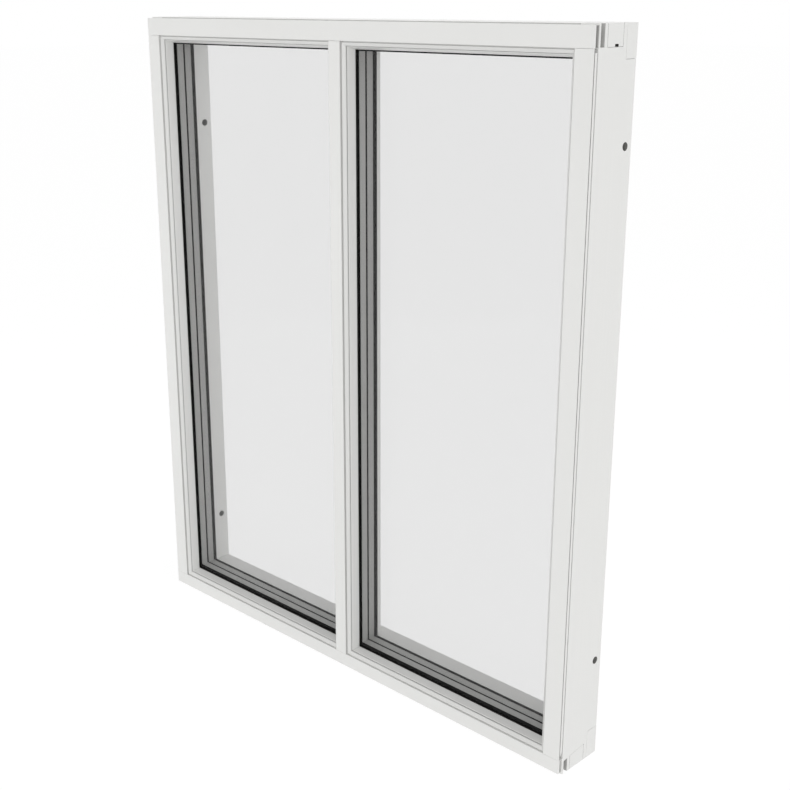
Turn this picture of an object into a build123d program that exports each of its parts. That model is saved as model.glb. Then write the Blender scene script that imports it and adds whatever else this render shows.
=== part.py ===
from build123d import *
import os

# Fixed timber window with aluminium cladding outside and two triple-glazed lights.
# X runs across the window, Y from the outside (negative) to the room (positive), Z up.
# Sections are drawn with Y counted from the front of the cladding, and U counted from
# the outer edge of a frame piece towards the middle of the window.

# Whole window
WIDTH = 1120.0
HEIGHT = 1300.0
DEPTH = 115.0

# Timber frame
TIMBER_FRONT = 12.0
REBATE_BACK = 76.5
REBATE_FLOOR = 35.0
TIMBER_SIGHT = 54.0
SILL_SIGHT = 55.0
SILL_FLOOR_FRONT = 25.5
SILL_FLOOR_BACK = 33.0

# Timber corner joints: a through tenon and a lap on the head and the sill, and an open slot in the jamb
TENON_FRONT = 35.0
LAP_FRONT = 86.4
JOINT_GAP = 0.4
SLOT_FRONT = 16.3
SLOT_BACK = 26.8
VENT_FRONT = 55.0
VENT_BACK = 64.0
VENT_DEPTH = 4.0

# Timber mullion
MULLION_TONGUE = 14.2
MULLION_FLANGE = 33.3
MULLION_FLANGE_BACK = 86.4
MULLION_NOSE = 18.5
MULLION_BACK = 100.0
STUB_FRONT = 25.0
STUB_BACK = 50.0
STUB_LENGTH = 12.0

# Frame screw holes through the jambs
SCREW_HOLE_RADIUS = 7.0
SCREW_HOLE_Y = 97.5
SCREW_SPACING = 914.0
RIGHT_LOWER_HOLE = 198.0
LEFT_LOWER_HOLE = 167.0

# Aluminium cladding
CLAD_BOTTOM = 6.0
CLAD_TOP = 1298.0
WALL = 1.8
BOX_FACE = 3.6
BOX_WALL = 1.0
JAMB_FACE = 35.2
HEAD_FACE = 34.0
SILL_FACE = 27.3
MULLION_FACE = 14.4
FACE_JOINT = 0.3
LEG_FRONT = 3.9
LEG_BACK = 9.3
WEB_U = 7.2
LEG_CUT_TOP = 6.0
LEG_CUT_BOTTOM = 5.0
LEG_CUT_SLANT = 12.0

# Glazing beads
BEAD_BACK = 27.0
BEAD_DEPTH = 13.5
TOP_BEAD_DEPTH = 15.0
BEAD_FOOT_BACK = 20.0
BEAD_REACH = 15.0

# Triple glazing unit
GASKET_FRONT = 27.0
GLASS_FRONT = 29.5
PANE = 4.0
CAVITY = 16.0
GASKET_HIDDEN = 7.0
GASKET_LIP = 15.0
SIGHT_JAMB = 52.0
SIGHT_HEAD = 53.8
SIGHT_SILL = 55.0
SIGHT_MULLION = 30.5
SPACER_HEIGHT = 7.5
BUTYL = 0.3
SEAL_HEIGHT = 5.5
TAPE_LIP = 0.6
BLOCK_LENGTH = 100.0

# Places worked out from the sizes above
HALF = WIDTH / 2
FACE_BOTTOM = CLAD_BOTTOM + SILL_FACE
FACE_TOP = CLAD_TOP - HEAD_FACE
UNIT_BACK = GLASS_FRONT + 3 * PANE + 2 * CAVITY
UNIT_EDGE = SPACER_HEIGHT + SEAL_HEIGHT
BACK_TO_CENTRE = Pos(0, -DEPTH / 2, 0)


def sill_floor(y):
    """Height of the sloped rebate floor of the sill at a depth y."""
    slope = (SILL_FLOOR_BACK - SILL_FLOOR_FRONT) / (REBATE_BACK - TIMBER_FRONT)
    return SILL_FLOOR_FRONT + slope * (y - TIMBER_FRONT)


def bar_x(points, x0, x1):
    """Bar along X from x0 to x1, with its outline given as (y, z) points."""
    face = Plane.YZ.offset(x0) * Polygon(*points, align=None)
    return extrude(face, amount=x1 - x0, dir=(1, 0, 0))


def bar_y(points, y0, y1):
    """Bar along Y from y0 to y1, with its outline given as (x, z) points."""
    face = Plane.XZ.offset(-y0) * Polygon(*points, align=None)
    return extrude(face, amount=y1 - y0, dir=(0, 1, 0))


def bar_z(points, z0, z1):
    """Bar along Z from z0 to z1, with its outline given as (x, y) points."""
    face = Plane.XY.offset(z0) * Polygon(*points, align=None)
    return extrude(face, amount=z1 - z0, dir=(0, 0, 1))


def block(x0, x1, y0, y1, z0, z1):
    """Box between two corners."""
    return bar_z([(x0, y0), (x1, y0), (x1, y1), (x0, y1)], z0, z1)


def both_sides(shape):
    """The shape and its mirror image across the middle of the window."""
    return shape + mirror(shape, about=Plane.YZ)


def head_outline():
    """Outline of the head, rebated from below for the glazing."""
    floor = HEIGHT - REBATE_FLOOR
    sight = HEIGHT - TIMBER_SIGHT
    return [
        (TIMBER_FRONT, floor),
        (REBATE_BACK, floor),
        (REBATE_BACK, sight),
        (DEPTH, sight),
        (DEPTH, HEIGHT),
        (TIMBER_FRONT, HEIGHT),
    ]


def sill_outline():
    """Outline of the sill, with a rebate floor that sheds water outwards."""
    return [
        (TIMBER_FRONT, 0),
        (DEPTH, 0),
        (DEPTH, SILL_SIGHT),
        (REBATE_BACK, SILL_SIGHT),
        (REBATE_BACK, SILL_FLOOR_BACK),
        (TIMBER_FRONT, SILL_FLOOR_FRONT),
    ]


def cut_to_tenons(rail):
    """Cut both ends of a head or sill back to its shoulders, leaving the tenons and the laps."""
    front_shoulder = block(HALF - REBATE_FLOOR, HALF, 0, TENON_FRONT, 0, HEIGHT)
    back_shoulder = block(HALF - TIMBER_SIGHT, HALF, REBATE_BACK, LAP_FRONT, 0, HEIGHT)
    return rail - both_sides(front_shoulder) - both_sides(back_shoulder)


def mullion_stub(z0, z1):
    """The short tenon between the mullion and a rail, also used to cut its mortise."""
    return block(-MULLION_TONGUE, MULLION_TONGUE, STUB_FRONT, STUB_BACK, z0, z1)


def head_stub():
    floor = HEIGHT - REBATE_FLOOR
    return mullion_stub(floor, floor + STUB_LENGTH)


def sill_stub():
    floor = sill_floor(STUB_FRONT)
    outline = [
        (STUB_FRONT, floor - STUB_LENGTH),
        (STUB_BACK, floor - STUB_LENGTH),
        (STUB_BACK, sill_floor(STUB_BACK)),
        (STUB_FRONT, floor),
    ]
    return bar_x(outline, -MULLION_TONGUE, MULLION_TONGUE)


def timber_head():
    floor = HEIGHT - REBATE_FLOOR
    head = cut_to_tenons(bar_x(head_outline(), -HALF, HALF))
    vent = block(-HALF, HALF, VENT_FRONT, VENT_BACK, floor, floor + VENT_DEPTH)
    return head - vent - head_stub()


def timber_sill():
    return cut_to_tenons(bar_x(sill_outline(), -HALF, HALF)) - sill_stub()


def timber_jamb(lower_hole):
    """Right jamb, cut for the tenons and laps at both ends, with two frame screw holes."""
    inner = HALF - REBATE_FLOOR
    sight = HALF - TIMBER_SIGHT
    outline = [
        (HALF, TIMBER_FRONT),
        (HALF, DEPTH),
        (sight, DEPTH),
        (sight, REBATE_BACK),
        (inner, REBATE_BACK),
        (inner, TIMBER_FRONT),
    ]
    jamb = bar_z(outline, 0, HEIGHT)
    top = HEIGHT - REBATE_FLOOR
    tenon_slot = (TENON_FRONT - JOINT_GAP, REBATE_BACK + JOINT_GAP, JOINT_GAP)
    for front, back, gap in ((SLOT_FRONT, SLOT_BACK, 0), tenon_slot):
        jamb -= block(sight, HALF, front, back, top - gap, HEIGHT)
        foot = [(front, 0), (back, 0), (back, sill_floor(back) + gap), (front, sill_floor(front) + gap)]
        jamb -= bar_x(foot, sight, HALF)
    lap = LAP_FRONT - JOINT_GAP
    jamb -= block(sight, HALF, lap, DEPTH, HEIGHT - TIMBER_SIGHT - JOINT_GAP, HEIGHT)
    jamb -= block(sight, HALF, lap, DEPTH, 0, SILL_SIGHT + JOINT_GAP)
    for height in (lower_hole, lower_hole + SCREW_SPACING):
        centre = Plane(origin=(sight, SCREW_HOLE_Y, height), z_dir=(1, 0, 0))
        jamb -= extrude(centre * Circle(SCREW_HOLE_RADIUS), amount=TIMBER_SIGHT)
    return jamb


def timber_mullion():
    """Mullion with a tongue between the lights, scribed over the head and the sill."""
    half_outline = [
        (MULLION_TONGUE, TIMBER_FRONT),
        (MULLION_TONGUE, REBATE_BACK),
        (MULLION_FLANGE, REBATE_BACK),
        (MULLION_FLANGE, MULLION_FLANGE_BACK),
        (MULLION_NOSE, MULLION_BACK),
    ]
    outline = half_outline + [(-x, y) for x, y in reversed(half_outline)]
    post = bar_z(outline, 0, HEIGHT)
    post -= bar_x(head_outline(), -HALF, HALF)
    post -= bar_x(sill_outline(), -HALF, HALF)
    return post + head_stub() + sill_stub()


def box_cladding(z0, z1):
    """Hollow cladding along the head or the sill, open at both ends."""
    back_wall = TIMBER_FRONT - WALL
    shell = block(-HALF, HALF, 0, TIMBER_FRONT, z0, z1)
    return shell - block(-HALF, HALF, BOX_FACE, back_wall, z0 + BOX_WALL, z1 - BOX_WALL)


def jamb_cladding():
    """Right jamb cladding: a face, a hooked outer leg and an inner leg against the timber."""
    section = [
        (0, 0),
        (JAMB_FACE, 0),
        (JAMB_FACE, TIMBER_FRONT),
        (JAMB_FACE - WALL, TIMBER_FRONT),
        (JAMB_FACE - WALL, WALL),
        (WEB_U + WALL, WALL),
        (WEB_U + WALL, TIMBER_FRONT),
        (WEB_U, TIMBER_FRONT),
        (WEB_U, LEG_FRONT + WALL),
        (WALL, LEG_FRONT + WALL),
        (WALL, LEG_BACK),
        (0, LEG_BACK),
        (0, LEG_FRONT),
        (WEB_U, LEG_FRONT),
        (WEB_U, WALL),
        (0, WALL),
    ]
    z0 = FACE_BOTTOM + FACE_JOINT
    z1 = FACE_TOP - FACE_JOINT
    cladding = bar_z([(HALF - u, y) for u, y in section], z0, z1)
    cladding -= block(HALF - WEB_U, HALF, WALL, TIMBER_FRONT, z1 - LEG_CUT_TOP, z1)
    slant = [
        (WALL, z0),
        (TIMBER_FRONT, z0),
        (TIMBER_FRONT, z0 + LEG_CUT_BOTTOM + LEG_CUT_SLANT),
        (WALL, z0 + LEG_CUT_BOTTOM),
    ]
    return cladding - bar_x(slant, HALF - WEB_U, HALF)


def mullion_cladding():
    """Channel over the front of the mullion."""
    inside = MULLION_FACE - WALL
    section = [
        (-MULLION_FACE, 0),
        (MULLION_FACE, 0),
        (MULLION_FACE, TIMBER_FRONT),
        (inside, TIMBER_FRONT),
        (inside, WALL),
        (-inside, WALL),
        (-inside, TIMBER_FRONT),
        (-MULLION_FACE, TIMBER_FRONT),
    ]
    return bar_z(section, FACE_BOTTOM + FACE_JOINT, FACE_TOP - FACE_JOINT)


def bead_section(depth):
    """Glazing bead outline as (u, y), with u counted from the edge of the cladding's face.

    Its face slopes back in three steps, and the middle one has a narrow slot in it.
    """
    groove_width = 2.4
    groove_depth = 5.0
    return [
        (0, groove_depth),
        (groove_width, groove_depth),
        (groove_width, 2.8),
        (7.8, 7.0),
        (8.6, 8.2),
        (6.8, 9.4),
        (7.7, 10.8),
        (9.5, 9.6),
        (10.4, 10.8),
        (depth, BEAD_BACK),
        (depth - WALL, BEAD_BACK),
        (8.9, 12.4),
        (7.2, 12.4),
        (5.3, 9.9),
        (5.3, 8.4),
        (4.2, groove_depth + WALL),
        (WALL, groove_depth + WALL),
        (WALL, BEAD_FOOT_BACK),
        (0, BEAD_FOOT_BACK),
    ]


def beads(x0, x1):
    """The four mitred beads of a light whose cladding opening runs from x0 to x1."""
    z0, z1 = FACE_BOTTOM, FACE_TOP
    r = BEAD_REACH
    section = bead_section(BEAD_DEPTH)
    corners = [(x0, z0), (x1, z0), (x1, z1), (x0, z1)]
    inner = [(x0 + r, z0 + r), (x1 - r, z0 + r), (x1 - r, z1 - r), (x0 + r, z1 - r)]
    bars = {
        "bottom": bar_x([(y, z0 + u) for u, y in section], x0, x1),
        "right": bar_z([(x1 - u, y) for u, y in section], z0, z1),
        "top": bar_x([(y, z1 - u) for u, y in bead_section(TOP_BEAD_DEPTH)], x0, x1),
        "left": bar_z([(x0 + u, y) for u, y in section], z0, z1),
    }
    mitred = {}
    for i, (side, bar) in enumerate(bars.items()):
        j = (i + 1) % 4
        wedge = bar_y([corners[i], corners[j], inner[j], inner[i]], 0, TIMBER_FRONT + BEAD_BACK)
        mitred[side] = bar & wedge
    return mitred


def ring(outer, inner, y0, y1):
    """Flat rectangular ring between two (x0, x1, z0, z1) rectangles."""
    ox0, ox1, oz0, oz1 = outer
    ix0, ix1, iz0, iz1 = inner
    return block(ox0, ox1, y0, y1, oz0, oz1) - block(ix0, ix1, y0, y1, iz0, iz1)


def shrink(rectangle, margin):
    """A rectangle made smaller by a margin on every side."""
    x0, x1, z0, z1 = rectangle
    return (x0 + margin, x1 - margin, z0 + margin, z1 - margin)


def setting_blocks(unit):
    """Two blocks at the quarter points, which carry the unit over the sloped sill."""
    x0, x1, z0, _ = unit
    outline = [
        (GLASS_FRONT, sill_floor(GLASS_FRONT)),
        (UNIT_BACK, sill_floor(UNIT_BACK)),
        (UNIT_BACK, z0),
        (GLASS_FRONT, z0),
    ]
    blocks = []
    for share in (0.25, 0.75):
        middle = x0 + share * (x1 - x0)
        blocks.append(bar_x(outline, middle - BLOCK_LENGTH / 2, middle + BLOCK_LENGTH / 2))
    return blocks


def glazing():
    """Every piece of the right light but its beads, by name."""
    sight = (SIGHT_MULLION, HALF - SIGHT_JAMB, SIGHT_SILL, HEIGHT - SIGHT_HEAD)
    unit = shrink(sight, -UNIT_EDGE)
    spacer_outer = shrink(sight, -SPACER_HEIGHT)
    face = (MULLION_FACE, HALF - JAMB_FACE, FACE_BOTTOM, FACE_TOP)
    timber = (MULLION_FLANGE, HALF - TIMBER_SIGHT, SILL_SIGHT, HEIGHT - TIMBER_SIGHT)
    lip = shrink(face, GASKET_LIP)
    pieces = {
        "outer_gasket": [ring(shrink(face, GASKET_HIDDEN), lip, GASKET_FRONT, GLASS_FRONT)],
        "inner_gasket": [ring(unit, shrink(timber, TAPE_LIP), UNIT_BACK, REBATE_BACK)],
        "edge_seal": [],
        "setting_blocks": setting_blocks(unit),
    }
    x0, x1, z0, z1 = unit
    for i, name in enumerate(("outer_pane", "middle_pane", "inner_pane")):
        front = GLASS_FRONT + i * (PANE + CAVITY)
        pieces[name] = [block(x0, x1, front, front + PANE, z0, z1)]
    for i, name in enumerate(("outer_spacer", "inner_spacer")):
        front = GLASS_FRONT + PANE + i * (PANE + CAVITY)
        back = front + CAVITY
        spacer = ring(spacer_outer, sight, front + BUTYL, back - BUTYL)
        pieces[name] = [spacer]
        pieces["edge_seal"].append(ring(unit, sight, front, back) - spacer)
    return pieces


def save(name, *shapes):
    """Write one named piece, placed with the middle of the window's depth at Y zero."""
    solids = [BACK_TO_CENTRE * solid for shape in shapes for solid in shape.solids()]
    piece = solids[0] if len(solids) == 1 else Compound(children=solids)
    export_step(piece, f"parts/{name}.step")


def save_mirrored(name, *shapes):
    """Write the left-hand copy of a right-hand piece."""
    save(name, *[mirror(shape, about=Plane.YZ) for shape in shapes])


def main():
    os.makedirs("parts", exist_ok=True)
    save("timber_head", timber_head())
    save("timber_sill", timber_sill())
    save("timber_right_jamb", timber_jamb(RIGHT_LOWER_HOLE))
    save_mirrored("timber_left_jamb", timber_jamb(LEFT_LOWER_HOLE))
    save("timber_mullion", timber_mullion())
    save("head_cladding", box_cladding(FACE_TOP, CLAD_TOP))
    save("sill_cladding", box_cladding(CLAD_BOTTOM, FACE_BOTTOM))
    save("right_jamb_cladding", jamb_cladding())
    save_mirrored("left_jamb_cladding", jamb_cladding())
    save("mullion_cladding", mullion_cladding())
    for side, bead in beads(MULLION_FACE, HALF - JAMB_FACE).items():
        save(f"right_light_{side}_bead", bead)
    for side, bead in beads(JAMB_FACE - HALF, -MULLION_FACE).items():
        save(f"left_light_{side}_bead", bead)
    for name, shapes in glazing().items():
        save(f"right_light_{name}", *shapes)
        save_mirrored(f"left_light_{name}", *shapes)


main()
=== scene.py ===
"""Looks of a fixed window: an aluminium-clad timber frame with two triple-glazed lights.

X runs across the window, Y from the outside to the room, Z up, in metres.
"""

from __future__ import annotations

import logging
import math
from collections.abc import Iterator
from contextlib import contextmanager
from dataclasses import dataclass
from enum import Enum, IntEnum

import bmesh
import bpy
from mathutils import Matrix, Vector


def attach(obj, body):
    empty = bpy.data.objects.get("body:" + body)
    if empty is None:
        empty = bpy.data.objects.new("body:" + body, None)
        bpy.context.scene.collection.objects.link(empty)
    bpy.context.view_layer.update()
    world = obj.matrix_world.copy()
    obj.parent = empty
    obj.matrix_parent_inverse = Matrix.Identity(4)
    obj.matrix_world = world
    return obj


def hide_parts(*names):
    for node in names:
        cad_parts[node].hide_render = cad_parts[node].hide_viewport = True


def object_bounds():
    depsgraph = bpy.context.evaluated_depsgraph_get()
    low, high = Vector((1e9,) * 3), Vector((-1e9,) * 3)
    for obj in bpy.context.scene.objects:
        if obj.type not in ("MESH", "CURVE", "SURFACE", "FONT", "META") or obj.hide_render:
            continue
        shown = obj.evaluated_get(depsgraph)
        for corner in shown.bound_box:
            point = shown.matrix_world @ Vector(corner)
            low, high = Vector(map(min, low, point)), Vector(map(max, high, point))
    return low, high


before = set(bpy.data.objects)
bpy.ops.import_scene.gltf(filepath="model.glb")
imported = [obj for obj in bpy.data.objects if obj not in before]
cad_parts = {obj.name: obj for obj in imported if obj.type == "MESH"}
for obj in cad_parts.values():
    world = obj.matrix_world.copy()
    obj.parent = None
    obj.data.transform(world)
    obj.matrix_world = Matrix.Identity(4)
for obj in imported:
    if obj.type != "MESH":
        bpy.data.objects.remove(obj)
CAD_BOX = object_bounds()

LOG = logging.getLogger("fixed_window")
MM = 0.001
BODY = "root"
X_AXIS, Y_AXIS, Z_AXIS = range(3)


class Side(Enum):
    """The four sides of a frame or a light, and the axis that its bars run along."""

    TOP = ("top", X_AXIS)
    BOTTOM = ("bottom", X_AXIS)
    LEFT = ("left", Z_AXIS)
    RIGHT = ("right", Z_AXIS)

    @property
    def word(self) -> str:
        """The side's name as the nodes have it."""
        return self.value[0]

    @property
    def axis(self) -> int:
        """Index of the axis that a bar on this side runs along."""
        return self.value[1]

    @property
    def across(self) -> int:
        """Index of the axis that leads from the bar's outer edge to the glass."""
        return X_AXIS if self.axis == Z_AXIS else Z_AXIS


def linear(code: str) -> tuple[float, float, float, float]:
    """Turn an sRGB hex colour into linear light.

    Args:
        code: Six hex digits after a hash sign.

    Returns:
        Red, green, blue and an alpha of one.
    """
    shares = [int(code[i : i + 2], 16) / 255 for i in (1, 3, 5)]
    light = [c / 12.92 if c <= 0.04045 else ((c + 0.055) / 1.055) ** 2.4 for c in shares]
    return (*light, 1.0)


def add_node(
    tree: bpy.types.NodeTree,
    kind: str,
    settings: dict[str, object] | None = None,
    inputs: dict[str | int, object] | None = None,
) -> bpy.types.Node:
    """Add a node, set its properties, and fill or link its inputs.

    Args:
        tree: The node tree of a material or the world.
        kind: The node's type name.
        settings: Property values by name.
        inputs: Input values, or the sockets that feed them, by name or number.

    Returns:
        The new node.
    """
    node = tree.nodes.new(kind)
    for name, value in (settings or {}).items():
        setattr(node, name, value)
    for name, value in (inputs or {}).items():
        if isinstance(value, bpy.types.NodeSocket):
            tree.links.new(value, node.inputs[name])
        else:
            node.inputs[name].default_value = value
    return node


def empty_tree(owner: bpy.types.Material | bpy.types.World) -> bpy.types.NodeTree:
    """Switch nodes on and clear the tree."""
    owner.use_nodes = True
    owner.node_tree.nodes.clear()
    return owner.node_tree


@dataclass(frozen=True)
class Finish:
    """What every finish has: a name, the record's slot and one base colour."""

    name: str
    slot: str
    colour: str

    def build(self) -> bpy.types.Material:
        """Make the material.

        Returns:
            The new material.
        """
        material = bpy.data.materials.new(self.name)
        tree = empty_tree(material)
        surface = self.surface(tree)
        add_node(tree, "ShaderNodeOutputMaterial", inputs={"Surface": surface})
        return material

    def surface(self, tree: bpy.types.NodeTree) -> bpy.types.NodeSocket:
        """Build the shader. Each finish has its own."""
        raise NotImplementedError

    def pattern(
        self, tree: bpy.types.NodeTree, size_mm: Vector, detail: float, roughness: float
    ) -> bpy.types.NodeSocket:
        """A noise pattern whose blotches have a real size along each axis.

        Args:
            tree: The material's tree.
            size_mm: Size of one blotch along X, Y and Z.
            detail: Octaves of finer noise.
            roughness: Share that each finer octave keeps.

        Returns:
            The noise factor's socket.
        """
        place = add_node(tree, "ShaderNodeTexCoord").outputs["Object"]
        scale = Vector([1 / (s * MM) for s in size_mm])
        mapping = add_node(tree, "ShaderNodeMapping", inputs={"Vector": place, "Scale": scale})
        noise = add_node(
            tree,
            "ShaderNodeTexNoise",
            inputs={"Vector": mapping.outputs[0], "Scale": 1.0, "Detail": detail, "Roughness": roughness},
        )
        return noise.outputs[0]

    def shade(
        self, tree: bpy.types.NodeTree, factor: bpy.types.NodeSocket, spread: float
    ) -> bpy.types.NodeSocket:
        """The base colour, made a little darker and lighter by a pattern.

        Args:
            tree: The material's tree.
            factor: The pattern, from 0 to 1.
            spread: Largest change of the colour, as a share of it.

        Returns:
            The colour's socket.
        """
        red, green, blue, _ = linear(self.colour)
        ramp = add_node(tree, "ShaderNodeValToRGB", inputs={"Fac": factor})
        for stop, gain in zip(ramp.color_ramp.elements, (1 - spread, 1 + spread)):
            stop.color = (red * gain, green * gain, blue * gain, 1.0)
        return ramp.outputs[0]

    def bump(
        self, tree: bpy.types.NodeTree, height: bpy.types.NodeSocket, depth_mm: float
    ) -> bpy.types.NodeSocket:
        """A bump of a real depth from a height pattern of 0 to 1."""
        node = add_node(
            tree, "ShaderNodeBump", inputs={"Height": height, "Distance": depth_mm * MM, "Strength": 1.0}
        )
        return node.outputs[0]

    def opaque(
        self,
        tree: bpy.types.NodeTree,
        colour: bpy.types.NodeSocket,
        normal: bpy.types.NodeSocket,
        roughness: float,
        ior: float,
    ) -> bpy.types.NodeSocket:
        """A surface that no light gets through.

        Args:
            tree: The material's tree.
            colour: The colour's socket.
            normal: The bump's socket.
            roughness: How far reflections are spread.
            ior: Refractive index of the outermost layer.

        Returns:
            The shader's socket.
        """
        inputs = {"Base Color": colour, "Normal": normal, "Roughness": roughness, "IOR": ior}
        return add_node(tree, "ShaderNodeBsdfPrincipled", inputs=inputs).outputs[0]


@dataclass(frozen=True)
class PowderCoatedAluminium(Finish):
    """Polyester powder, sprayed on extruded aluminium and baked.

    It gives an even satin white with a faint orange peel that only breaks up reflections.
    """

    roughness: float = 0.32
    ior: float = 1.5
    peel_mm: float = 2.2
    peel_depth_mm: float = 0.012
    drift_mm: tuple[float, float, float] = (180.0, 180.0, 260.0)
    drift_share: float = 0.012

    def surface(self, tree: bpy.types.NodeTree) -> bpy.types.NodeSocket:
        """Build the coat's shader, with orange peel and slow changes of thickness."""
        peel = self.pattern(tree, Vector((self.peel_mm,) * 3), detail=2.0, roughness=0.4)
        drift = self.pattern(tree, Vector(self.drift_mm), detail=2.0, roughness=0.5)
        colour = self.shade(tree, drift, self.drift_share)
        normal = self.bump(tree, peel, self.peel_depth_mm)
        return self.opaque(tree, colour, normal, self.roughness, self.ior)


@dataclass(frozen=True)
class SprayPaintedPine(Finish):
    """Waterborne paint, sprayed twice on planed pine.

    It gives a satin white, a touch softer than the metal's, in which the grain shows as faint
    long ridges.
    """

    axis: int = Z_AXIS
    roughness: float = 0.3
    ior: float = 1.48
    ring_mm: float = 5.0
    streak_mm: float = 420.0
    ridge_mm: float = 0.02
    grain_share: float = 0.015
    speckle_mm: float = 1.4
    speckle_share: float = 0.35

    def surface(self, tree: bpy.types.NodeTree) -> bpy.types.NodeSocket:
        """Build the paint's shader, with the grain along the bar's own axis."""
        size = Vector((self.ring_mm,) * 3)
        size[self.axis] = self.streak_mm
        grain = self.pattern(tree, size, detail=3.0, roughness=0.55)
        speckle = self.pattern(tree, Vector((self.speckle_mm,) * 3), detail=1.0, roughness=0.5)
        relief = add_node(
            tree,
            "ShaderNodeMath",
            {"operation": "MULTIPLY_ADD"},
            {0: speckle, 1: self.speckle_share, 2: grain},
        )
        colour = self.shade(tree, grain, self.grain_share)
        normal = self.bump(tree, relief.outputs[0], self.ridge_mm)
        return self.opaque(tree, colour, normal, self.roughness, self.ior)


@dataclass(frozen=True)
class ExtrudedRubber(Finish):
    """EPDM, drawn through a die. It gives a matt black with a fine dusty bloom."""

    roughness: float = 0.75
    ior: float = 1.3
    grit_mm: float = 0.8
    grit_depth_mm: float = 0.02
    grit_share: float = 0.25

    def surface(self, tree: bpy.types.NodeTree) -> bpy.types.NodeSocket:
        """Build the rubber's shader."""
        grit = self.pattern(tree, Vector((self.grit_mm,) * 3), detail=2.0, roughness=0.5)
        colour = self.shade(tree, grit, self.grit_share)
        normal = self.bump(tree, grit, self.grit_depth_mm)
        return self.opaque(tree, colour, normal, self.roughness, self.ior)


@dataclass(frozen=True)
class WarmEdgeBar(Finish):
    """Steel and plastic, rolled into a spacer bar. It gives a satin mid grey with fine long lines."""

    roughness: float = 0.4
    ior: float = 1.5
    line_mm: float = 1.6
    line_length_mm: float = 300.0
    line_depth_mm: float = 0.02
    line_share: float = 0.06

    def surface(self, tree: bpy.types.NodeTree) -> bpy.types.NodeSocket:
        """Build the bar's shader, with lines that follow each other through the bar's depth."""
        size = Vector((self.line_length_mm, self.line_mm, self.line_length_mm))
        lines = self.pattern(tree, size, detail=2.0, roughness=0.6)
        colour = self.shade(tree, lines, self.line_share)
        normal = self.bump(tree, lines, self.line_depth_mm)
        return self.opaque(tree, colour, normal, self.roughness, self.ior)


@dataclass(frozen=True)
class FloatGlass(Finish):
    """Clear float glass, 4 mm thick, polished by floating on tin.

    Lamps and scattered light pass straight through it, so that what stands behind is lit.
    """

    ior: float = 1.05
    gloss: float = 0.25
    gloss_ior: float = 1.5

    def surface(self, tree: bpy.types.NodeTree) -> bpy.types.NodeSocket:
        """Build the glass, and a clear stand-in for the rays that light what is behind it."""
        glass = add_node(
            tree,
            "ShaderNodeBsdfPrincipled",
            inputs={
                "Base Color": linear(self.colour),
                "Roughness": 0.0,
                "IOR": self.ior,
                "Transmission Weight": 1.0,
                "Coat Weight": self.gloss,
                "Coat Roughness": 0.0,
                "Coat IOR": self.gloss_ior,
            },
        )
        face = tuple(math.sqrt(share) for share in linear(self.colour))
        clear = add_node(tree, "ShaderNodeBsdfTransparent", inputs={"Color": face})
        path = add_node(tree, "ShaderNodeLightPath")
        lights = add_node(
            tree,
            "ShaderNodeMath",
            {"operation": "MAXIMUM"},
            {0: path.outputs["Is Shadow Ray"], 1: path.outputs["Is Diffuse Ray"]},
        )
        mix = add_node(
            tree,
            "ShaderNodeMixShader",
            inputs={0: lights.outputs[0], 1: glass.outputs[0], 2: clear.outputs[0]},
        )
        return mix.outputs[0]


@dataclass(frozen=True)
class StudioFloor(Finish):
    """Matt white board with a faint glow of painted light, which lights the window from below.

    It shows as the white ground, and keeps a faint shadow of the window.
    """

    shadow: float = 0.15
    glow: float = 1.06
    bounce: float = 0.15

    def surface(self, tree: bpy.types.NodeTree) -> bpy.types.NodeSocket:
        """Build the board, with the white ground for rays that see it rather than light by it."""
        white = add_node(tree, "ShaderNodeBsdfDiffuse", inputs={"Color": linear(self.colour)})
        # Painted light: the board glows faintly and lights the window from below, as bounced light would.
        painted_bounce_glow = add_node(tree, "ShaderNodeEmission", inputs={"Strength": self.bounce})
        board = add_node(
            tree, "ShaderNodeAddShader", inputs={0: white.outputs[0], 1: painted_bounce_glow.outputs[0]}
        )
        ground = add_node(tree, "ShaderNodeEmission", inputs={"Strength": self.glow})
        share = add_node(
            tree,
            "ShaderNodeMath",
            {"operation": "MULTIPLY"},
            {0: seen_directly(tree), 1: 1 - self.shadow},
        )
        mix = add_node(
            tree,
            "ShaderNodeMixShader",
            inputs={0: share.outputs[0], 1: board.outputs[0], 2: ground.outputs[0]},
        )
        return mix.outputs[0]


def seen_directly(tree: bpy.types.NodeTree) -> bpy.types.NodeSocket:
    """One for camera, glossy and transmission rays, which show the white ground.

    Args:
        tree: The tree that the nodes go into.

    Returns:
        The socket that holds the one or zero.
    """
    path = add_node(tree, "ShaderNodeLightPath")
    seen = path.outputs["Is Camera Ray"]
    for name in ("Is Glossy Ray", "Is Transmission Ray"):
        either = add_node(tree, "ShaderNodeMath", {"operation": "MAXIMUM"}, {0: seen, 1: path.outputs[name]})
        seen = either.outputs[0]
    return seen


@contextmanager
def edit_mode(piece: bpy.types.Object) -> Iterator[bmesh.types.BMesh]:
    """Open one object in edit mode, with nothing selected in it.

    Args:
        piece: The mesh object to edit.

    Yields:
        The edit mesh, for choosing what the operators act on.
    """
    bpy.ops.object.select_all(action="DESELECT")
    piece.select_set(True)
    bpy.context.view_layer.objects.active = piece
    bpy.ops.object.mode_set(mode="EDIT")
    bpy.ops.mesh.select_mode(type="EDGE")
    bpy.ops.mesh.select_all(action="DESELECT")
    yield bmesh.from_edit_mesh(piece.data)
    bpy.ops.object.mode_set(mode="OBJECT")


def dress(piece: bpy.types.Object, *materials: bpy.types.Material) -> None:
    """Give a piece its materials, in place of any that it had."""
    piece.data.materials.clear()
    for material in materials:
        piece.data.materials.append(material)


# Every recess coat is a grey or near-black of painted shade.
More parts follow.
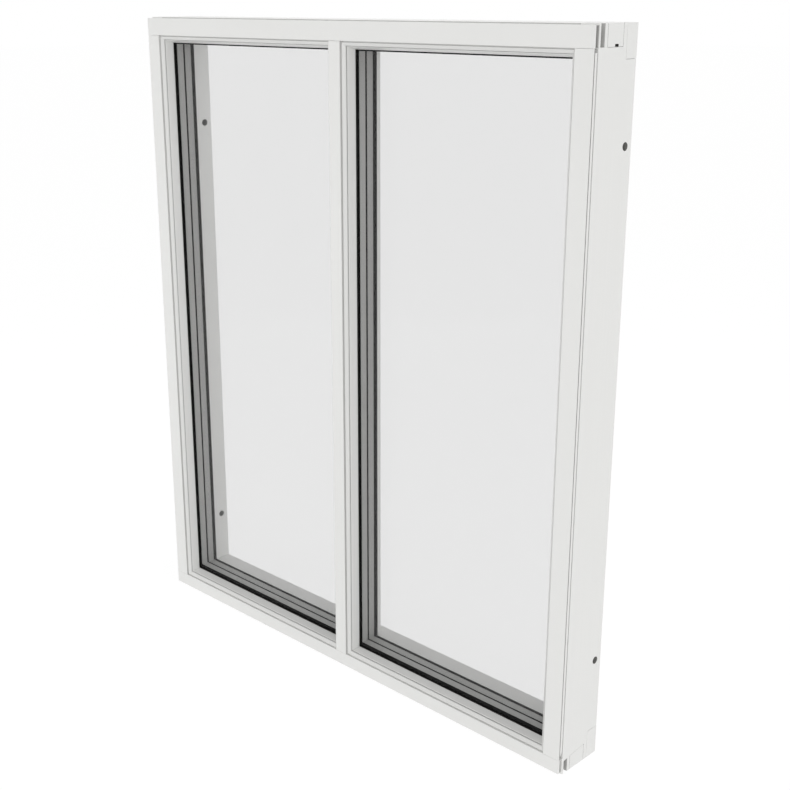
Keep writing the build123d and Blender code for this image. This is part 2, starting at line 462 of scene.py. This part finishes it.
@dataclass(frozen=True)
class Recess:
    """A part of a bar's section, in millimetres, whose faces get a coat of their own.

    U is counted from the bar's outer edge towards the glass, V from the front of the cladding.
    """

    u_low: float
    u_high: float
    v_low: float
    v_high: float

    def holds(self, u: float, v: float) -> bool:
        """Whether a point of the section lies in the recess."""
        return self.u_low < u < self.u_high and self.v_low < v < self.v_high


@dataclass
class RoundedBar:
    """A bar of the frame with its arrises rounded, made from its CAD node.

    Long edges run along the bar and get the larger radius. The edges across it, at its ends,
    joints and holes, and the short ones along it, get the smaller one. The faces in each recess
    get the coat of its number.
    """

    node: str
    name: str
    side: Side
    long_radius_mm: float
    end_radius_mm: float
    coats: tuple[bpy.types.Material, ...]
    recesses: tuple[tuple[Recess, int], ...] = ()
    shortest_mm: float = 0.0
    longest_end_mm: float = 100.0
    segments: int = 3
    weld_mm: float = 0.01
    flat_deg: float = 0.5
    sharp_deg: float = 12.0
    smooth_deg: float = 40.0

    def build(self) -> bpy.types.Object:
        """Copy the node, merge its triangles into faces, coat them and round its edges.

        Returns:
            The finished piece, which stands for the node.
        """
        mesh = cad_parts[self.node].data.copy()
        piece = bpy.data.objects.new(self.name, mesh)
        bpy.context.scene.collection.objects.link(piece)
        dress(piece, *self.coats)
        self._merge_faces(piece)
        self._coat_recesses(piece)
        self._weigh_edges(piece)
        self._round_edges(piece)
        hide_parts(self.node)
        return piece

    def _merge_faces(self, piece: bpy.types.Object) -> None:
        """Turn the node's loose triangles into whole flat faces."""
        with edit_mode(piece):
            bpy.ops.mesh.select_all(action="SELECT")
            bpy.ops.mesh.remove_doubles(threshold=self.weld_mm * MM)
            bpy.ops.mesh.dissolve_limited(angle_limit=math.radians(self.flat_deg))

    def _coat_recesses(self, piece: bpy.types.Object) -> None:
        """Give the faces in each recess its coat, but for the mitred ends of a bead."""
        across = self.side.across
        values = [vertex.co[across] for vertex in piece.data.vertices]
        counts_down = self.side in (Side.TOP, Side.RIGHT)
        edge = max(values) if counts_down else min(values)
        for face in piece.data.polygons:
            slants = (0.1 < abs(face.normal[axis]) < 0.9 for axis in (across, self.side.axis))
            if all(slants):
                continue
            u = abs(face.center[across] - edge) / MM
            v = (face.center[Y_AXIS] - CAD_BOX[0][Y_AXIS]) / MM
            # Each recess coat darkens its faces as painted shade.
            for recess, coat in self.recesses:
                if recess.holds(u, v):
                    face.material_index = coat

    def _weigh_edges(self, piece: bpy.types.Object) -> None:
        """Mark each sharp edge with the share of the larger radius that it gets."""
        sharp = math.radians(self.sharp_deg)
        along = Vector((0, 0, 0))
        along[self.side.axis] = 1
        with edit_mode(piece) as mesh:
            weight = mesh.edges.layers.float.new("bevel_weight_edge")
            for edge in mesh.edges:
                if edge.calc_face_angle(0.0) < sharp or edge.calc_length() < self.shortest_mm * MM:
                    continue
                run = (edge.verts[1].co - edge.verts[0].co).normalized()
                is_long = abs(run.dot(along)) > 0.99 and edge.calc_length() > self.longest_end_mm * MM
                edge[weight] = 1.0 if is_long else self.end_radius_mm / self.long_radius_mm
            bmesh.update_edit_mesh(piece.data)

    def _round_edges(self, piece: bpy.types.Object) -> None:
        """Round the marked edges and keep the flats flat in the shading."""
        bevel = piece.modifiers.new("arris", "BEVEL")
        bevel.limit_method = "WEIGHT"
        bevel.width = self.long_radius_mm * MM
        bevel.segments = self.segments
        bevel.use_clamp_overlap = False
        bpy.ops.object.modifier_apply(modifier=bevel.name)
        bpy.ops.object.shade_smooth_by_angle(angle=math.radians(self.smooth_deg))
        flats = piece.modifiers.new("flats", "WEIGHTED_NORMAL")
        flats.keep_sharp = True
        bpy.ops.object.modifier_apply(modifier=flats.name)


class TimberCoat(IntEnum):
    """The materials of a timber piece, in the order of its material slots."""

    PAINT = 0
    # The slots after the paint hold painted shade: grey for recesses, near-black for the vent groove and
    # joints, darker grey for screw holes.
    RECESS_SHADE = 1
    JOINT_SHADE = 2
    BORE_SHADE = 3


class MetalCoat(IntEnum):
    """The materials of a cladding piece or bead, in the order of its material slots."""

    FULL = 0
    # The second and third slots hold a lighter and a deeper grey of painted shade.
    LIGHT = 1
    THIN = 2


@dataclass
class TimberFrame:
    """Head, sill, jambs and mullion of painted pine, joined with tenons and laps.

    The open slots and the head's front behind the cladding get a grey of painted shade, and the screw holes
    a darker grey of painted shade. The vent groove and the joints get a near-black of painted shade.
    """

    arris_mm: float = 1.2
    joint_mm: float = 0.35
    shortest_mm: float = 3.0
    colour: str = "#E8E8E6"
    # Painted shade: a grey for the open slots and the head's front behind the cladding.
    recess_shade_colour: str = "#C2C2C0"
    # Painted shade: a darker grey inside the screw holes.
    bore_shade_colour: str = "#8E8E8B"
    # Painted shade: a near-black in the vent groove and the joint gaps.
    joint_shade_colour: str = "#2A2A29"
    open_slot: Recess = Recess(0.3, 35.1, 16.2, 26.9)
    screw_holes: Recess = Recess(0.5, 53.5, 90.4, 104.6)
    vent_groove: Recess = Recess(30.9, 34.9, 54.9, 64.1)
    tenon_front: Recess = Recess(0.3, 35.1, 34.9, 35.1)
    slot_back: Recess = Recess(0.3, 53.9, 76.8, 77.0)
    covered_front: Recess = Recess(0.3, 35.1, 11.9, 12.1)

    def build(self) -> None:
        """Round the five timber pieces and paint each along its own grain."""
        # This near-black rubber finish is painted shade for the vent groove and the joint gaps.
        joint_shade = ExtrudedRubber("black_joint_shade", "painted_timber", self.joint_shade_colour).build()
        coats = {}
        for axis, word in ((X_AXIS, "across"), (Z_AXIS, "upright")):
            top_coat = SprayPaintedPine(f"spray_painted_pine_{word}", "painted_timber", self.colour, axis)
            # Besides the top coat, each grain direction gets a grey of painted shade for recesses and a
            # darker one for the screw holes.
            recess_shade = SprayPaintedPine(f"shaded_pine_{word}", "painted_timber", self.recess_shade_colour, axis)
            bore_shade = SprayPaintedPine(f"bored_pine_{word}", "painted_timber", self.bore_shade_colour, axis)
            coats[axis] = (top_coat.build(), recess_shade.build(), joint_shade, bore_shade.build())
        slot = (self.open_slot, TimberCoat.RECESS_SHADE)
        vent = (self.vent_groove, TimberCoat.JOINT_SHADE)
        rail = (slot, vent, (self.tenon_front, TimberCoat.JOINT_SHADE))
        jamb = (slot, (self.screw_holes, TimberCoat.BORE_SHADE), (self.slot_back, TimberCoat.JOINT_SHADE))
        bars = {
            "head": (Side.TOP, (*rail, (self.covered_front, TimberCoat.RECESS_SHADE))),
            "sill": (Side.BOTTOM, rail),
            "left_jamb": (Side.LEFT, jamb),
            "right_jamb": (Side.RIGHT, jamb),
            "mullion": (Side.LEFT, ()),
        }
        for part, (side, recesses) in bars.items():
            bar = RoundedBar(
                f"timber_{part}",
                f"painted_{part}",
                side,
                self.arris_mm,
                self.joint_mm,
                coats[side.axis],
                recesses,
                self.shortest_mm,
            )
            finish_piece(bar.build())


@dataclass
class Cladding:
    """Powder-coated aluminium over the outside of the frame, and the mitred glazing beads.

    The hollow, the gap behind each jamb's face and the slots of the beads get a deeper grey of painted
    shade. The grooves of the beads and the edge faces of the head, jamb and mullion cladding get a lighter
    grey of painted shade.
    """

    edge_mm: float = 0.3
    bead_edge_mm: float = 0.2
    cut_mm: float = 0.15
    colour: str = "#E9E9E7"
    bead_colour: str = "#E2E2E0"
    # Painted shade: a lighter grey for the bead grooves and the edge faces of the cladding.
    light_shade_colour: str = "#D4D4D2"
    # Painted shade: a deeper grey for the hollow, the gap behind each jamb's face and the bead slots.
    deep_shade_colour: str = "#C2C2C0"
    hollow: Recess = Recess(0.5, 33.5, 3.5, 10.3)
    leg_gap: Recess = Recess(0.3, 7.3, 1.7, 12.1)
    head_side: Recess = Recess(33.9, 34.1, 0.2, 12.0)
    jamb_side: Recess = Recess(35.1, 35.3, 0.2, 12.0)
    mullion_left: Recess = Recess(-0.1, 0.1, 0.0, 12.0)
    mullion_right: Recess = Recess(28.7, 28.9, 0.0, 12.0)
    bead_groove: Recess = Recess(-0.1, 2.5, 2.9, 5.1)
    bead_slot: Recess = Recess(6.7, 8.75, 8.5, 10.9)

    def build(self) -> None:
        """Round and coat the face pieces and the beads."""
        # Two of the four finishes built here are greys of painted shade; the lighter one is held in light.
        full, bead_coat, light, deep_shade = (
            PowderCoatedAluminium(f"{word}_coated_aluminium", "powder_coated_cladding", colour).build()
            for word, colour in (
                ("powder", self.colour),
                ("bead", self.bead_colour),
                ("light_shaded", self.light_shade_colour),
                ("deep_shaded", self.deep_shade_colour),
            )
        )
        head = ((self.hollow, MetalCoat.THIN), (self.head_side, MetalCoat.LIGHT))
        jamb = ((self.leg_gap, MetalCoat.THIN), (self.jamb_side, MetalCoat.LIGHT))
        mullion = ((self.mullion_left, MetalCoat.LIGHT), (self.mullion_right, MetalCoat.LIGHT))
        bars = {
            "head": (Side.TOP, head),
            "sill": (Side.BOTTOM, ()),
            "mullion": (Side.LEFT, mullion),
            "left_jamb": (Side.LEFT, jamb),
            "right_jamb": (Side.RIGHT, jamb),
        }
        coats = (full, light, deep_shade)
        for part, (side, recesses) in bars.items():
            node = f"{part}_cladding"
            bar = RoundedBar(node, f"coated_{node}", side, self.edge_mm, self.cut_mm, coats, recesses)
            finish_piece(bar.build())
        # The bead grooves and slots get painted shade.
        steps = ((self.bead_groove, MetalCoat.LIGHT), (self.bead_slot, MetalCoat.THIN))
        coats = (bead_coat, light, deep_shade)
        for half in ("left", "right"):
            for side in Side:
                node = f"{half}_light_{side.word}_bead"
                bar = RoundedBar(node, f"coated_{node}", side, self.bead_edge_mm, self.cut_mm, coats, steps)
                finish_piece(bar.build())


@dataclass
class Glazing:
    """The panes, spacer bars, seals, gaskets and setting blocks of both lights."""

    glass_colour: str = "#F6F6F6"
    spacer_colour: str = "#A8A8A6"
    rubber_colour: str = "#191918"
    seal_colour: str = "#1C1C1C"

    def build(self) -> None:
        """Give each node of the glazing its finish."""
        glass = FloatGlass("clear_float_glass", "clear_glass", self.glass_colour).build()
        spacer = WarmEdgeBar("warm_edge_spacer", "grey_spacer", self.spacer_colour).build()
        rubber = ExtrudedRubber("epdm_rubber", "black_gasket", self.rubber_colour).build()
        seal = ExtrudedRubber("butyl_sealant", "black_edge_seal", self.seal_colour, 0.8).build()
        block = ExtrudedRubber("nylon_block", "black_block", self.seal_colour, 0.5).build()
        finishes = {
            "outer_pane": glass,
            "middle_pane": glass,
            "inner_pane": glass,
            "outer_spacer": spacer,
            "inner_spacer": spacer,
            "outer_gasket": rubber,
            "inner_gasket": rubber,
            "edge_seal": seal,
            "setting_blocks": block,
        }
        for half in ("left", "right"):
            for part, material in finishes.items():
                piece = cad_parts[f"{half}_light_{part}"]
                dress(piece, material)
                LOG.info("%s is dressed in %s", piece.name, material.name)


def finish_piece(piece: bpy.types.Object) -> None:
    """Let a new piece ride on the window and report it.

    Args:
        piece: The finished mesh object.
    """
    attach(piece, BODY)
    LOG.info("%s has %d faces", piece.name, len(piece.data.polygons))


@dataclass(frozen=True)
class Lamp:
    """A soft square studio lamp, aimed at the middle of the window."""

    name: str
    place: tuple[float, float, float]
    size: float
    power: float

    def build(self, target: Vector) -> None:
        """Hang the lamp and turn it to the target.

        Args:
            target: The point that it shines at.
        """
        light = bpy.data.lights.new(self.name, "AREA")
        light.size = self.size
        light.energy = self.power
        lamp = bpy.data.objects.new(self.name, light)
        bpy.context.scene.collection.objects.link(lamp)
        lamp.location = self.place
        lamp.rotation_euler = (target - Vector(self.place)).to_track_quat("-Z", "Y").to_euler()
        lamp.visible_camera = False
        lamp.visible_glossy = False
        lamp.visible_transmission = False


@dataclass
class Studio:
    """White ground, soft light and the camera at the picture's angle.

    The world's light is the ambient level plus the lean, a vector that points to its bright side.
    """

    image_px: int = 790
    sensor_mm: float = 36.0
    focal_px: float = 1248.92
    centre_px: tuple[float, float] = (364.25, 397.87)
    camera_place: tuple[float, float, float] = (1.6792, -1.6653, 1.3425)
    yaw_deg: float = 44.977
    down_deg: float = 17.901
    roll_deg: float = -0.288
    floor_size: float = 60.0
    floor_colour: str = "#F0F0F0"
    view_depth: float = 200.0
    ambient: float = 0.83
    lean: tuple[float, float, float] = (0.34, -0.19, -0.42)
    lamps: tuple[Lamp, ...] = (
        Lamp("key_lamp", (2.6, -2.6, 0.9), 1.8, 15.5),
        Lamp("fill_lamp", (-1.9, -2.2, 0.35), 1.2, 12.0),
        Lamp("top_lamp", (0.0, 0.0, 3.2), 0.8, 14.0),
        Lamp("room_lamp", (2.8, 2.6, 0.9), 1.8, 8.5),
    )

    def build(self) -> None:
        """Build the floor, the world, the lamps and the camera."""
        self._floor()
        self._world()
        low, high = (Vector(corner) for corner in CAD_BOX)
        target = (low + high) / 2
        for lamp in self.lamps:
            lamp.build(target)
        self._camera()
        bpy.context.scene.view_settings.view_transform = "Standard"

    def _floor(self) -> None:
        """Lay the white floor under the sill."""
        bpy.ops.object.select_all(action="DESELECT")
        bpy.ops.mesh.primitive_plane_add(size=self.floor_size, location=(0, 0, 0))
        floor = bpy.context.active_object
        floor.name = "studio_floor"
        dress(floor, StudioFloor("white_board", "", self.floor_colour).build())

    def _world(self) -> None:
        """Show plain white where it is seen, and give softer light from above and the left."""
        world = bpy.data.worlds.new("white_studio")
        bpy.context.scene.world = world
        tree = empty_tree(world)
        direction = add_node(tree, "ShaderNodeTexCoord").outputs["Generated"]
        lean = add_node(
            tree, "ShaderNodeVectorMath", {"operation": "DOT_PRODUCT"}, {0: direction, 1: self.lean}
        )
        ambient = add_node(
            tree,
            "ShaderNodeMath",
            {"operation": "ADD"},
            {0: lean.outputs["Value"], 1: self.ambient},
        )
        strength = add_node(
            tree,
            "ShaderNodeMix",
            {"data_type": "FLOAT"},
            {"Factor": seen_directly(tree), "A": ambient.outputs[0], "B": 1.0},
        )
        light = add_node(
            tree,
            "ShaderNodeBackground",
            inputs={"Color": (1.0, 1.0, 1.0, 1.0), "Strength": strength.outputs[0]},
        )
        add_node(tree, "ShaderNodeOutputWorld", inputs={"Surface": light.outputs[0]})

    def _camera(self) -> None:
        """Set the camera at the picture's place, with its lens and its slight roll."""
        data = bpy.data.cameras.new("picture_camera")
        data.sensor_width = self.sensor_mm
        data.lens = self.focal_px * self.sensor_mm / self.image_px
        data.shift_x = (self.image_px / 2 - self.centre_px[0]) / self.image_px
        data.shift_y = (self.centre_px[1] - self.image_px / 2) / self.image_px
        data.clip_end = self.view_depth
        camera = bpy.data.objects.new("picture_camera", data)
        bpy.context.scene.collection.objects.link(camera)
        camera.location = self.camera_place
        turns = ((self.yaw_deg, "Z"), (90 - self.down_deg, "X"), (self.roll_deg, "Z"))
        yaw, pitch, roll = (Matrix.Rotation(math.radians(angle), 3, axis) for angle, axis in turns)
        camera.rotation_euler = (yaw @ pitch @ roll).to_euler()
        bpy.context.scene.camera = camera


def main() -> None:
    """Build every part of the picture in order."""
    logging.basicConfig(level=logging.INFO, format="%(name)s: %(message)s")
    Studio().build()
    TimberFrame().build()
    Cladding().build()
    Glazing().build()


if __name__ == "__main__":
    main()
